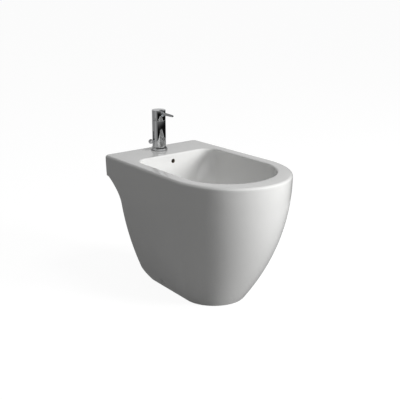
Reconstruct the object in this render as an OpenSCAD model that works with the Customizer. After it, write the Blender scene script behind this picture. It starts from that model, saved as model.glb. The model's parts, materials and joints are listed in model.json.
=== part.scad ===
// Floor standing bidet with a single-hole mixer tap and a pop-up waste.
// +Z is up, the front of the bidet faces -Y and its back stands against a wall on +Y.
// The origin is on the floor, in the middle of the bidet's width and depth.

/* [Bidet body] */
// Width over the rim
body_w = 360; // [300:5:440]
// Depth from the wall face to the front of the rim
body_l = 570; // [470:5:690]
// Height of the rim above the floor
body_h = 392; // [325:1:471]
// Length of the straight sides, from the wall face to where the front curve starts
side_l = 362; // [300:2:380]
// How much narrower each side is at the wall than at the front curve
side_taper = 8; // [0:1:20]
// Thickness of the vitreous china
china_t = 12; // [9:0.5:15]
// Radius of the rim's outer top edge
rim_edge_r = 8; // [3:0.5:10]
// Radius of the vertical corners at the wall
wall_corner_r = 16; // [8:1:25]
// Height of the upright block at the back, above the undercut
block_h = 62; // [45:1:100]
// Height over which the back sweeps in below the block
sweep_h = 78; // [50:2:110]
// Gap between the wall and the back of the pedestal
back_gap = 62; // [30:1:72]

/* [Foot] */
// Width of the foot at its widest, near the front
foot_w = 184; // [150:2:240]
// How much narrower each side of the foot is at its back corner
foot_taper = 14; // [0:1:30]
// Distance from the wall to the back of the foot
foot_back_gap = 74; // [50:1:110]
// Distance from the front of the rim back to the front of the foot
foot_setback = 161; // [100:1:200]
// Radius of the foot's back corners
foot_corner_r = 48; // [20:1:60]
// Height at which the foot's back has run into the pedestal's
foot_blend_h = 40; // [30:5:100]
// Power of the egg-shaped curve from foot to rim
belly_power = 2.04; // [1.5:0.02:3]

/* [Bowl] */
// Width of the rim at the sides
rim_side_w = 33; // [32:1:60]
// Width of the rim at the front
rim_front_w = 50; // [34:1:80]
// Depth of the deck that carries the tap, from the wall to the bowl
deck_l = 114; // [96:1:130]
// Depth of the bowl from the rim to its floor
bowl_depth = 145; // [110:1:175]
// Radius of the bowl's back corners at the rim
bowl_corner_r = 44; // [25:1:60]
// Radius of the bowl's soft top edge
bowl_edge_r = 5; // [4:0.5:12]
// Radius of the overflow hole
overflow_r = 6.5; // [4:0.25:7]
// Depth of the overflow hole's axis below the rim
overflow_drop = 22.5; // [16:0.5:30]
// Distance from the bowl's back edge to the waste
waste_from_edge = 111; // [104:1:140]
// Height of the boss under the bowl that the waste clamps on
boss_h = 20; // [16:1:26]

/* [Tap] */
// Distance from the wall to the tap's axis
tap_to_wall = 47; // [40:1:55]
// Radius of the tap hole in the deck
tap_hole_r = 17.5; // [17:0.25:19]
// Radius of the tap's body and cap
tap_r = 21; // [19.5:0.5:25.5]
// Radius of the flared base ring at the deck
ring_r = 26; // [23:0.2:29]
// Height of the flared base ring
ring_h = 11; // [10:0.5:18]
// Height of the tap's body above the deck
tap_body_h = 92; // [88:1:112]
// Height of the cap
cap_h = 30.6; // [30:0.2:40]
// Height of the aerator's axis above the deck
aerator_up = 34; // [32:0.5:38]
// Radius of the aerator's collar
collar_r = 9.2; // [8.6:0.1:11]
// Reach of the lever's tip from the tap's axis
lever_reach = 73; // [55:1:90]
// Angle at which the lever rises at rest
lever_rise = 0; // [0:1:12]
// Greatest radius of the lever's grip
lever_r = 4.4; // [2.8:0.1:4.4]
// Height of the lift knob above the deck when it is down
knob_up = 29; // [28:0.5:36]
// Radius of the lift knob
knob_r = 7.2; // [5:0.1:8]
// Radius of the lift rod
lift_rod_r = 2; // [1.5:0.1:2.2]
// Travel of the lift rod
lift_travel = 28; // [20:1:28]
// How far the lift rod hangs below the deck's top
lift_rod_drop = 140; // [120:2:150]

/* [Inside the tap] */
// Radius of the spigot that passes through the deck
spigot_r = 16.3; // [15.8:0.1:16.5]
// Radius of the ceramic cartridge
cart_r = 12.5; // [11.5:0.25:13.5]
// Height of the cartridge's wide part
cart_h = 14; // [12:0.5:16]
// Radius of the cartridge's neck
neck_r = 8.7; // [7:0.1:9.5]
// Radius of the cartridge nut
cart_nut_r = 14.4; // [14:0.1:16]
// Height of the cartridge nut
cart_nut_h = 8; // [6:0.5:10]
// Radius of the spindle
spindle_r = 4.5; // [3.5:0.1:5]
// Radius of the lever's hub
hub_r = 5; // [4:0.25:6]
// Radius of the lever's hinge pin
pin_r = 1.25; // [1:0.05:1.5]
// Width of the slot in the cap that the lever's hub sits in
notch_w = 9; // [8.6:0.2:12]
// Radius of the screw in the back of the cap
grub_r = 2; // [1.5:0.1:2.5]
// Radius of the supply inlets
inlet_r = 4.6; // [3.5:0.1:4.6]
// Radius of the stud that holds the tap down
stud_r = 3; // [2.5:0.1:3]
// Outer radius of the horseshoe washer and its gasket
washer_r = 25; // [22:0.5:27]

/* [Waste] */
// Radius of the waste hole in the bowl
waste_hole_r = 23; // [22:0.25:25]
// Radius of the waste's flange
flange_r = 31.5; // [29:0.5:36]
// Outer radius of the waste's threaded tube
waste_tube_r = 20.5; // [19.5:0.25:21]
// Inner radius of the waste's tube and body
waste_bore_r = 17.5; // [17:0.1:18]
// Length of the waste's tube below the bowl's floor
waste_tube_l = 42; // [38:1:46]
// Length of the waste body below the bowl's floor
waste_body_l = 105; // [102:1:112]
// Outer radius of the waste body
waste_body_r = 24; // [23:0.25:26]
// Outer radius of the tailpiece
tail_r = 16; // [15:0.25:16.2]
// Height of the tailpiece's lower end above the floor
tail_end_z = 58; // [40:1:80]
// Radius of the plug's cap
plug_r = 20; // [19.5:0.1:20.6]
// Distance of the pivot ball from the waste's axis
ball_out = 30; // [28:1:34]
// Drop of the pivot ball below the bowl's floor
ball_drop = 76; // [74:1:78]
// Radius of the pivot ball
pivot_ball_r = 7; // [6.5:0.1:7.4]
// Radius of the pivot rod
rod_r = 2.5; // [2:0.1:2.6]
// Width of the strap
strap_w = 14; // [12:0.5:16]
// Thickness of the strap
strap_t = 1.5; // [1:0.1:2]

/* [Fixings] */
// Distance from the wall to the side fixing screws
fixing_to_wall = 184; // [150:1:220]
// Height of the side fixing screws above the floor
fixing_z = 21; // [20:1:26]
// Radius of the side fixing holes
fixing_hole_r = 4.5; // [4:0.25:5]
// Radius of the caps over the side fixing screws
side_cap_r = 8; // [7:0.5:9]
// Radius of the side fixing screws
side_screw_r = 2; // [1.75:0.25:2.5]
// Radius of the holes for the floor screws in the brackets
floor_hole_r = 3; // [2.5:0.25:3.5]

/* [Clearances] */
// Gap around parts that fit, turn or slide in each other
run_gap = 0.06; // [0.02:0.01:0.1]
// Gap between parts that only pass each other
free_gap = 0.4; // [0.3:0.05:0.5]

/* [Hidden] */
$fn = 64;
wall_y = body_l / 2;
front_y = -body_l / 2;
bowl_back_y = wall_y - deck_l;
bowl_floor_z = body_h - bowl_depth;
tap_y = wall_y - tap_to_wall;
waste_y = bowl_back_y - waste_from_edge;
block_z = body_h - block_h;
sweep_z = block_z - sweep_h;
china = [0.93, 0.93, 0.92];
chrome = [0.78, 0.79, 0.8];
steel = [0.6, 0.61, 0.62];
brass = [0.76, 0.62, 0.34];
rubber = [0.12, 0.12, 0.12];
white_plastic = [0.9, 0.9, 0.89];
grey_plastic = [0.45, 0.46, 0.48];

// ---- Shapes used by several parts ----

// A tube along Z from z0 to z1.
module pipe(ro, ri, z0, z1)
    translate([0, 0, z0])
        difference() {
            cylinder(r = ro, h = z1 - z0);
            translate([0, 0, -1]) cylinder(r = ri, h = z1 - z0 + 2);
        }

// A round bar along Z from z0 to z1.
module bar(r, z0, z1)
    translate([0, 0, z0]) cylinder(r = r, h = z1 - z0);

// A round bar of radius r along X, from x0 to x1, at height z and depth y.
module bar_x(r, x0, x1, y, z)
    translate([x0, y, z]) rotate([0, 90, 0]) cylinder(r = r, h = x1 - x0);

// A round bar of radius r along Y, from y0 to y1, at x and height z.
module bar_y(r, y0, y1, x, z)
    translate([x, y1, z]) rotate([90, 0, 0]) cylinder(r = r, h = y1 - y0);

// A box between two corners.
module box(a, b)
    translate(a) cube(b - a);

// A six-sided nut, measured across its flats, with a round hole of radius ri.
module hex_nut(across, ri, z0, z1)
    translate([0, 0, z0])
        difference() {
            linear_extrude(z1 - z0) circle(r = across / 2 / cos(30), $fn = 6);
            translate([0, 0, -1]) cylinder(r = ri, h = z1 - z0 + 2);
        }

// Points on an arc of radius r from angle a0 to a1, as [distance from the axis, place along it].
function arc(r, a0, a1, n) =
    [for (i = [0 : n]) let (a = a0 + (a1 - a0) * i / n) [r * cos(a), r * sin(a)]];

module at_tap() translate([0, tap_y, body_h]) children();
module at_waste() translate([0, waste_y, bowl_floor_z]) children();

// ---- China body ----

// Points along half an outline, from the middle of the back to the front tip.
back_n = 3;
corner_n = 4;
side_n = 5;
front_n = 9;

// Half of a D-shaped outline: [half width at the back, half width at the front curve, back y,
// corner radius, y where the front curve starts, front y].
function half_ring(d) =
    let (hb = d[0], hf = d[1], yb = d[2], rc = d[3], ym = d[4], yf = d[5])
    concat(
        [for (i = [0 : back_n - 1]) [(hb - rc) * i / back_n, yb]],
        [for (i = [0 : corner_n - 1]) let (a = 90 - 90 * i / corner_n)
            [hb - rc + rc * cos(a), yb - rc + rc * sin(a)]],
        [for (i = [0 : side_n - 1]) let (t = i / side_n)
            [hb + (hf - hb) * t, yb - rc + (ym - yb + rc) * t]],
        [for (i = [0 : front_n]) let (a = 90 * i / front_n)
            [hf * cos(a), ym + (yf - ym) * sin(a)]]);

// The whole outline at height z, as points.
function ring(d, z) =
    let (h = half_ring(d), n = len(h))
    concat(
        [for (p = h) [p[0], p[1], z]],
        [for (i = [n - 2 : -1 : 1]) [-h[i][0], h[i][1], z]]);

// An outline drawn in by t all round.
function inset(d, t) = [d[0] - t, d[1] - t, d[2] - t, max(2, d[3] - t), d[4], d[5] + t];

// Share of the way from foot to rim at height z, along the egg-shaped belly.
function belly(z) = 1 - pow(1 - max(0, min(1, z / body_h)), belly_power);

// How much of the foot's own back and corners is left at height z.
function foot_share(z) = pow(max(0, 1 - z / foot_blend_h), 2);

// Back of the outline at height z: foot, upright pedestal, sweep, block.
function back_y(z) =
    let (s = max(0, min(1, (z - sweep_z) / sweep_h)),
         pedestal = wall_y - back_gap - (foot_back_gap - back_gap) * foot_share(z))
    z >= block_z ? wall_y : pedestal + (back_gap - 6) * s * s;

// Corner radius of the outline at height z.
function corner_r(z) = z >= block_z ? wall_corner_r : 18 + (foot_corner_r - 18) * foot_share(z);

// Outer outline of the body at height z.
foot_front = front_y + foot_setback;
foot_mid = foot_front + foot_w / 2;
rim_mid = wall_y - side_l;
function outer(z) =
    let (g = belly(z), foot_hb = foot_w / 2 - foot_taper, rim_hb = body_w / 2 - side_taper)
    [foot_hb + (rim_hb - foot_hb) * g, foot_w / 2 + (body_w - foot_w) / 2 * g, back_y(z),
     corner_r(z), foot_mid + (rim_mid - foot_mid) * g, foot_front - foot_setback * g];

// Half width of the body's flank at depth y and height z.
function flank_x(y, z) =
    let (d = outer(z), t = (d[2] - d[3] - y) / (d[2] - d[3] - d[4]))
    d[0] + (d[1] - d[0]) * t;

// Outline of the bowl's mouth, and of the small hole at its bottom that the waste bore swallows.
mouth_w = body_w / 2 - rim_side_w;
mouth = [mouth_w - side_taper / 2, mouth_w, bowl_back_y, bowl_corner_r,
         front_y + rim_front_w + mouth_w, front_y + rim_front_w];
drain = [12, 12, waste_y + 12, 8, waste_y, waste_y - 12];

// Outline of the bowl at share t of its depth, thickened outwards by w.
bowl_power = 2.3;
corner_growth = 20;
function bowl(t, w) =
    let (e = 1 - pow(1 - pow(min(t, 1), bowl_power), 1 / bowl_power),
         m = [for (i = [0 : 5]) mouth[i] + (drain[i] - mouth[i]) * e],
         rc = min(m[0] - 4, m[3] + corner_growth * t * (1 - e)))
    [m[0] + w, m[1] + w, m[2] + w, max(2, rc + w), m[4], m[5] - w];

// Rings of the china, in order: up the outside, over the rim, down the bowl, back up under the
// bowl and down inside the shell to the floor.
outer_zs = [3, 14, 32, 55, 84, 118, 156, 198, sweep_z, sweep_z + sweep_h * 0.35,
            sweep_z + sweep_h * 0.62, sweep_z + sweep_h * 0.84, block_z - 1.5, block_z,
            body_h - block_h / 2];
bowl_ts = [0.1, 0.22, 0.36, 0.5, 0.63, 0.74, 0.84, 0.92, 0.97, 1];
edge_as = [0, 30, 60, 90];
under_gap = 2;
wall_h = bowl_depth - bowl_edge_r;
china_rings = concat(
    [ring(inset(outer(0), 1), 0)],
    [for (z = outer_zs) ring(outer(z), z)],
    [for (a = edge_as) ring(inset(outer(body_h), rim_edge_r * (1 - cos(a))),
                            body_h - rim_edge_r * (1 - sin(a)))],
    [for (a = edge_as) ring(bowl(0, -bowl_edge_r * sin(a)), body_h - bowl_edge_r * (1 - cos(a)))],
    [for (t = bowl_ts) ring(bowl(t, -bowl_edge_r * (1 - t)), body_h - bowl_edge_r - wall_h * t)],
    [for (i = [len(bowl_ts) - 1 : -1 : 1]) let (t = bowl_ts[i])
        ring(bowl(t, china_t - bowl_edge_r * (1 - t)),
             body_h - bowl_edge_r - wall_h * t - china_t * t)],
    [ring(bowl(0.1, china_t - bowl_edge_r), body_h - china_t - under_gap)],
    [ring(inset(outer(body_h), china_t), body_h - china_t - under_gap)],
    [for (i = [len(outer_zs) - 2 : -1 : 0]) let (z = outer_zs[i])
        ring(inset(outer(z), china_t), z)],
    [ring(inset(outer(0), china_t), 0)]);

// Closes a list of rings into one solid, the last ring joined to the first.
module ring_solid(rings) {
    n = len(rings[0]);
    m = len(rings);
    polyhedron(
        points = [for (r = rings) each r],
        faces = [for (k = [0 : m - 1], i = [0 : n - 1])
            let (k1 = (k + 1) % m, i1 = (i + 1) % n,
                 a = k * n + i, b = k * n + i1, c = k1 * n + i1, d = k1 * n + i)
            each [[b, c, d], [b, d, a]]]);
}

// Path of the overflow channel: [y, z] behind and under the bowl.
duct_start_y = bowl_back_y + 5.5;
duct_path = [[duct_start_y, body_h - overflow_drop],
             [bowl_back_y + 1.5, body_h - bowl_depth * 0.6],
             [bowl_back_y - waste_from_edge / 3, bowl_floor_z + 6],
             [waste_y + 28, bowl_floor_z - 10.5]];
duct_r = 4.5;
duct_wall = 4;
duct_w = 18;

// The overflow channel from point to point, as a bar of radius r and width w across.
module duct(r, w) {
    for (i = [0 : len(duct_path) - 2])
        hull()
            for (p = [duct_path[i], duct_path[i + 1]])
                translate([-w / 2, p[0], p[1]])
                    rotate([0, 90, 0]) cylinder(r = r, h = w, $fn = 20);
}

// Side fixings: where the screw passes the flank, and how the flank leans there.
fix_y = wall_y - fixing_to_wall;
fix_x = flank_x(fix_y, fixing_z);
lean_z = atan((flank_x(fix_y, fixing_z + 6) - flank_x(fix_y, fixing_z - 6)) / 12);
lean_y = atan((flank_x(fix_y - 10, fixing_z) - flank_x(fix_y + 10, fixing_z)) / 20);
screw_head_h = 2.6;
cap_seat_x = fix_x - 6;

// Half space behind the flank's tangent plane, moved out by d.
module behind_flank(d)
    translate([fix_x, fix_y, fixing_z])
        rotate([0, 0, lean_y])
            rotate([0, lean_z, 0])
                translate([-200 + d, -60, -60]) cube([200, 120, 120]);

opening_w = 132;
opening_top = block_z + 18;
boss_r = flange_r + 6;
flange_seat_gap = 1.5;

module bidet_body() {
    color(china)
    difference() {
        union() {
            ring_solid(china_rings);
            duct(duct_r + duct_wall, duct_w + 2 * duct_wall);
            at_waste() bar(boss_r, -boss_h, -2);
        }
        duct(duct_r, duct_w);
        // The waste hole and the flat seat round it
        at_waste() bar(waste_hole_r, -boss_h - 20, 60);
        at_waste() bar(flange_r + flange_seat_gap, 0, 60);
        // The overflow hole
        bar_y(overflow_r, bowl_back_y - 36, duct_start_y, 0, body_h - overflow_drop);
        // The tap hole
        at_tap() bar(tap_hole_r, -40, 40);
        // The open back, for the pipes: the foot's part and the part above it
        box([-opening_w / 2, wall_y - foot_back_gap - china_t - 2, -1],
            [opening_w / 2, wall_y + 1, foot_blend_h]);
        box([-opening_w / 2, bowl_back_y + china_t, -1], [opening_w / 2, wall_y + 1, opening_top]);
        // The side fixing holes and the recesses for their caps
        for (s = [0, 1])
            mirror([s, 0, 0]) {
                bar_x(fixing_hole_r, 20, fix_x + 20, fix_y, fixing_z);
                bar_x(side_cap_r + 0.3, cap_seat_x, fix_x + 20, fix_y, fixing_z);
            }
    }
}

// ---- Tap ----

gasket_t = 1.2;
deck_t = china_t + under_gap;
cart_z = tap_body_h - cart_nut_h - cart_h;
cap_z = tap_body_h + free_gap;
cap_top = cap_z + cap_h;
hub_z = tap_body_h + 22;
hub_y = -(tap_r - 9);
notch_z = hub_z - hub_r - 4.5;
cavity_top = notch_z - 2;
spindle_top = hub_z + 5;
spigot_l = 10;
lift_x = -(spigot_r - 1.1 - free_gap - lift_rod_r);
skirt_wall = 1;
hollow_top = 0.6;
inlets = [[-4.8, 8.6], [6.4, 8.2]];
inlet_top = 14;
stud_y = -10;
stud_top = 9;
outlet_y = -8;
port_r = 3;
collar_back = -(tap_r - 9);
collar_front = -(tap_r + 1.4);
aer_ball_r = collar_r - 2;
aer_ball_y = collar_front + 4.2;
screen_r = 3.9;
arm_r = lift_rod_r - 0.1;
knob_x = -(tap_r + 10);
slot_w = 2 * (arm_r + free_gap);

// The tap's body: an upright cylinder on a spigot that passes through the deck.
module tap_body() {
    color(chrome)
    at_tap()
    difference() {
        union() {
            bar(spigot_r, -spigot_l, ring_h + 1);
            rotate_extrude()
                polygon([[0, ring_h], [tap_r, ring_h], [tap_r, tap_body_h - 0.6],
                         [tap_r - 0.6, tap_body_h], [0, tap_body_h]]);
        }
        // The cartridge's seat and the thread of its nut
        bar(cart_r + run_gap, cart_z, tap_body_h + 1);
        bar(cart_nut_r + run_gap, cart_z + cart_h, tap_body_h + 1);
        // The hollow spigot, the supply inlets above it and their water ways
        bar(spigot_r - skirt_wall, -spigot_l - 1, hollow_top);
        for (p = inlets)
            translate([p[0], p[1], 0]) {
                bar(inlet_r, 0, inlet_top);
                bar(port_r, 0, cart_z + 1);
            }
        // The way out to the aerator
        translate([0, outlet_y, 0]) bar(port_r, aerator_up, cart_z + 1);
        bar_y(aer_ball_r - 1.6, collar_back - 1, outlet_y + 1, 0, aerator_up);
        bar_y(collar_r + run_gap, -tap_r - 5, collar_back, 0, aerator_up);
        // The stud's hole
        translate([0, stud_y, 0]) bar(stud_r + run_gap, -spigot_l - 1, stud_top);
        // The lift rod's channel and the slot that its arm comes out of
        translate([lift_x, 0, 0])
            bar(lift_rod_r + free_gap, -spigot_l - 1, knob_up + lift_travel + arm_r + 2.4);
        box([-tap_r - 1, -slot_w / 2, knob_up], [lift_x, slot_w / 2, knob_up + lift_travel]);
        bar_x(slot_w / 2, -tap_r - 1, lift_x, 0, knob_up);
        bar_x(slot_w / 2, -tap_r - 1, lift_x, 0, knob_up + lift_travel);
    }
}

// Flared ring between the deck and the tap's body: an upright foot below a cone.
ring_top_r = tap_r + 0.6;
ring_foot_z = gasket_t + 4.5;
module base_ring() {
    color(chrome)
    at_tap()
    rotate_extrude()
        polygon(concat(
            [[tap_hole_r - 0.5, ring_h], [tap_hole_r - 0.5, gasket_t],
             [ring_r - 0.4, gasket_t], [ring_r, gasket_t + 0.4]],
            [for (i = [0 : 5]) let (up = i / 5)
                [ring_top_r + (ring_r - ring_top_r) * pow(1 - up, 1.2),
                 ring_foot_z + (ring_h - ring_foot_z) * up]]));
}

module base_gasket() {
    color(rubber) at_tap() pipe(ring_r - 1.1, tap_hole_r + 0.3, 0, gasket_t);
}

// Ceramic cartridge: the wide part with its ports and the neck that holds the spindle.
module cartridge() {
    color(grey_plastic)
    at_tap()
    difference() {
        union() {
            bar(cart_r, cart_z, cart_z + cart_h);
            bar(neck_r, cart_z, cavity_top - 1.5);
        }
        bar(spindle_r + run_gap, cart_z + cart_h + 3.6, cavity_top);
        for (p = concat(inlets, [[0, outlet_y]]))
            translate([p[0], p[1], 0]) bar(port_r - 0.5, cart_z - 1, cart_z + 8);
    }
}

// Threaded ring that holds the cartridge down, with four notches for a spanner.
module cartridge_nut() {
    color(brass)
    at_tap()
    difference() {
        pipe(cart_nut_r, neck_r + run_gap, cart_z + cart_h, tap_body_h);
        for (a = [0, 90])
            rotate([0, 0, a])
                box([-cart_nut_r - 1, -1.5, tap_body_h - 2.5], [-neck_r - 2, 1.5, tap_body_h + 1]);
        for (a = [180, 270])
            rotate([0, 0, a])
                box([-cart_nut_r - 1, -1.5, tap_body_h - 2.5], [-neck_r - 2, 1.5, tap_body_h + 1]);
    }
}

// The spindle has a flat at the back for the cap's screw.
spindle_flat = spindle_r - 0.6;
module cartridge_spindle() {
    color(brass)
    at_tap()
    difference() {
        bar(spindle_r, cart_z + cart_h + 4, spindle_top - 0.2);
        box([-spindle_r - 1, spindle_flat, hub_z - 5], [spindle_r + 1, spindle_r + 1, spindle_top]);
    }
}

// Cap that turns on the spindle, with the lever's slot at the front.
module handle_cap() {
    color(chrome)
    at_tap()
    difference() {
        rotate_extrude()
            polygon([[0, cap_z], [tap_r - 0.5, cap_z], [tap_r, cap_z + 0.5], [tap_r, cap_top - 0.8],
                     [tap_r - 0.8, cap_top], [0, cap_top]]);
        bar(cart_nut_r + 2.6, cap_z - 1, cavity_top);
        bar(spindle_r + run_gap, cavity_top - 1, spindle_top);
        box([-notch_w / 2, -tap_r - 1, notch_z], [notch_w / 2, hub_y + hub_r + 1, cap_top + 1]);
        bar_x(pin_r + run_gap, -notch_w, tap_r, hub_y, hub_z);
        bar_y(grub_r + run_gap, 0, tap_r + 1, 0, hub_z - 2);
    }
}

// Screw with a hexagon socket in the back of the cap.
grub_l = 9;
module cap_grub_screw() {
    color(steel)
    at_tap()
    difference() {
        bar_y(grub_r, spindle_flat + 0.02, spindle_flat + grub_l, 0, hub_z - 2);
        translate([0, spindle_flat + grub_l + 1, hub_z - 2])
            rotate([90, 0, 0]) linear_extrude(3.5) circle(r = grub_r / 2, $fn = 6);
    }
}

// Lever: a hub on its pin, a thin neck and a slim grip that tapers to its tip.
lever_l = (lever_reach + hub_y) / cos(lever_rise);
lever_neck_r = 2.2;
tip_r = lever_r - 1.2;
module lever() {
    color(chrome)
    at_tap()
    translate([0, hub_y, hub_z])
    difference() {
        union() {
            bar_x(hub_r, -notch_w / 2 + free_gap, notch_w / 2 - free_gap, 0, 0);
            rotate([90 - lever_rise, 0, 0])
                rotate_extrude()
                    polygon([[0, 2], [lever_neck_r, 2], [lever_neck_r, 13], [lever_neck_r + 0.4, 15],
                             [lever_r - 0.2, 18], [lever_r, 21], [lever_r, 26],
                             [tip_r, lever_l - 1], [tip_r - 0.4, lever_l - 0.3],
                             [tip_r - 1.2, lever_l], [0, lever_l]]);
        }
        bar_x(pin_r + run_gap, -notch_w, notch_w, 0, 0);
    }
}

module lever_pin() {
    color(steel) at_tap() bar_x(pin_r, -notch_w + 0.5, tap_r - 5, hub_y, hub_z);
}

// The ball's flat front and back, and the depth of its mouth, measured from its centre.
aer_front = aer_ball_r - 2;
aer_back = aer_ball_r - 1.6;
screen_t = 1.8;

// Collar screwed into the tap's front, with a round socket for the ball.
module aerator_collar() {
    socket_r = aer_ball_r + run_gap;
    front = aer_ball_y - collar_front;
    back = aer_ball_y - collar_back;
    color(chrome)
    at_tap()
    translate([0, aer_ball_y, aerator_up])
    rotate([90, 0, 0])
    rotate_extrude()
        polygon(concat([[socket_r, back], [collar_r, back],
                        [collar_r, front - 0.4], [collar_r - 0.4, front]],
                       arc(socket_r, asin(front / socket_r), 0, 6)));
}

// Ball that aims the jet: cut flat at both ends and bored through.
module aerator_ball() {
    color(chrome)
    at_tap()
    translate([0, aer_ball_y, aerator_up])
    rotate([90, 0, 0])
    rotate_extrude()
        polygon(concat([[screen_r - 1, -aer_back]],
                       arc(aer_ball_r, -asin(aer_back / aer_ball_r), asin(aer_front / aer_ball_r), 12),
                       [[screen_r + run_gap, aer_front], [screen_r + run_gap, aer_front - screen_t - 0.4],
                        [screen_r - 1, aer_front - screen_t - 0.4]]));
}

// Screen in the ball's mouth, with a ring of holes.
module aerator_screen() {
    color(steel)
    at_tap()
    translate([0, aer_ball_y, aerator_up])
    difference() {
        bar_y(screen_r, 0.4 - aer_front, 0.4 + screen_t - aer_front, 0, 0);
        for (a = [0 : 60 : 300])
            rotate([0, a, 0]) bar_y(0.6, -20, 20, 2.4, 0);
        bar_y(0.6, -20, 20, 0, 0);
    }
}

// Lift rod: it hangs in the tap's channel and its arm comes out of the slot.
module lift_rod() {
    color(chrome)
    at_tap() {
        translate([lift_x, 0, 0]) bar(lift_rod_r, -lift_rod_drop, knob_up + arm_r + 0.7);
        bar_x(arm_r, knob_x + 2, lift_x + 0.5, 0, knob_up);
    }
}

// Round knob with a short neck, pushed on the arm.
module lift_knob() {
    neck = arm_r + 1.4;
    neck_end = -tap_r - 1.5 - knob_x;
    bore_r = arm_r + run_gap;
    bore_end = 1.9;
    color(chrome)
    at_tap()
    translate([knob_x, 0, knob_up])
    rotate([0, 90, 0])
    rotate_extrude()
        polygon(concat(arc(knob_r, -90, acos(neck / knob_r), 20),
                       [[neck, neck_end], [bore_r, neck_end], [bore_r, bore_end], [0, bore_end]]));
}

// ---- Below the deck ----

washer_t = 2;
under_gasket_t = 2.5;
nut_t = 5;
slot_half = spigot_r - free_gap;

// A horseshoe plate under the deck: the stud's hole in its web, its slot open to the back.
module horseshoe(z0, z1)
    difference() {
        bar(washer_r, z0, z1);
        box([-slot_half, stud_y + stud_r + 2.5, z0 - 1], [slot_half, washer_r + 1, z1 + 1]);
        translate([0, stud_y, 0]) bar(stud_r + 0.2, z0 - 1, z1 + 1);
    }

module tap_stud() {
    color(steel) at_tap() translate([0, stud_y, 0]) bar(stud_r, -deck_t - 21, stud_top - 0.1);
}

module horseshoe_gasket() {
    color(rubber) at_tap() horseshoe(-deck_t - under_gasket_t, -deck_t);
}

module horseshoe_washer() {
    color(steel) at_tap() horseshoe(-deck_t - under_gasket_t - washer_t, -deck_t - under_gasket_t);
}

module tap_nut() {
    color(brass)
    at_tap()
    translate([0, stud_y, -deck_t - under_gasket_t - washer_t])
        hex_nut(10, stud_r + run_gap, -nut_t, 0);
}

// ---- Waste ----

flange_gasket_t = 1.5;
flange_t = 3;
flange_top = flange_gasket_t + flange_t;
body_gasket_t = 4;
body_flange_t = 4;
body_top = -boss_h - body_gasket_t;
tail_seat = -waste_body_l + 12;
overflow_slot_z = -9;
overflow_slot_w = 10;

// Flange in the bowl's floor with its threaded tube and a cone that the plug closes on.
module waste_flange() {
    color(chrome)
    at_waste()
    difference() {
        rotate_extrude()
            polygon([[waste_bore_r, -waste_tube_l], [waste_tube_r, -waste_tube_l],
                     [waste_tube_r, flange_gasket_t], [flange_r, flange_gasket_t],
                     [flange_r, flange_top - 1], [flange_r - 1, flange_top],
                     [waste_bore_r + 4, flange_top], [waste_bore_r, flange_top - 4]]);
        // Slots that take the overflow's water
        for (a = [0, 90])
            rotate([0, 0, a])
                box([-overflow_slot_w / 2, -waste_tube_r - 1, overflow_slot_z - 4],
                    [overflow_slot_w / 2, waste_tube_r + 1, overflow_slot_z + 4]);
    }
}

module flange_gasket() {
    color(rubber) at_waste() pipe(flange_r - 1.5, waste_hole_r - 0.5, 0, flange_gasket_t);
}

module body_gasket() {
    color(rubber) at_waste() pipe(waste_body_r + 10, waste_tube_r + 0.5, body_top, -boss_h);
}

// How much slimmer the tailpiece is in the waste body than below it.
neck_drop = 0.3;

// Where the pivot's port starts and ends along Y, from the waste's axis.
port_ro = pivot_ball_r + 4;
port_end = ball_out + 9.5;
seal_back = ball_out - 8.5;
rod_way_r = rod_r + 2.2;

// Waste body: its flange, its barrel and the port for the pivot rod.
module waste_body() {
    color(chrome)
    at_waste()
    difference() {
        union() {
            bar(waste_body_r + 9, body_top - body_flange_t, body_top);
            bar(waste_body_r, -waste_body_l + 10, body_top);
            bar(tail_r + 4, -waste_body_l, body_top);
            bar_y(port_ro, 0, port_end, 0, -ball_drop);
        }
        bar(waste_tube_r + run_gap, -waste_tube_l - 2, body_top + 1);
        bar(waste_bore_r, tail_seat, body_top + 1);
        bar(tail_r - neck_drop + run_gap, -waste_body_l - 1, body_top);
        bar_y(pivot_ball_r + run_gap, seal_back, port_end + 1, 0, -ball_drop);
        bar_y(rod_way_r, 0, port_end, 0, -ball_drop);
    }
}

// Tailpiece hung on a small collar in the waste body, with a slimmer neck above the trap's seat.
tail_shoulder = -waste_body_l - 2;
tail_wall = 1.2;
module tailpiece() {
    color(chrome)
    at_waste()
    difference() {
        union() {
            bar(tail_r, tail_end_z - bowl_floor_z, tail_shoulder);
            bar(tail_r - neck_drop, tail_shoulder - 1, tail_seat + 1);
            bar(waste_bore_r - 0.2, tail_seat, tail_seat + 2.5);
        }
        bar(tail_r - tail_wall, tail_end_z - bowl_floor_z - 1, tail_seat + 4);
    }
}

// How the pivot rod, the lift rod and the plug move together.
rod_out = tap_y - waste_y - ball_out;
rod_tilt = atan(lift_travel / 2 / rod_out);
plug_lift = lift_travel * ball_out / rod_out;
loop_z = -ball_drop + ball_out * tan(rod_tilt);
strap_hole_z = bowl_floor_z - ball_drop - lift_travel / 2;
loop_r = rod_r + 0.6;
seal_in_r = waste_bore_r - 2.5;
seal_z = 2.2;
plug_z = flange_top + free_gap;
fin_reach = waste_bore_r - free_gap;
fin_t = 1.6;
fin_h = 46;
plug_stem_r = 4;
eye_half = 7;
eye_t = 3;

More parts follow.
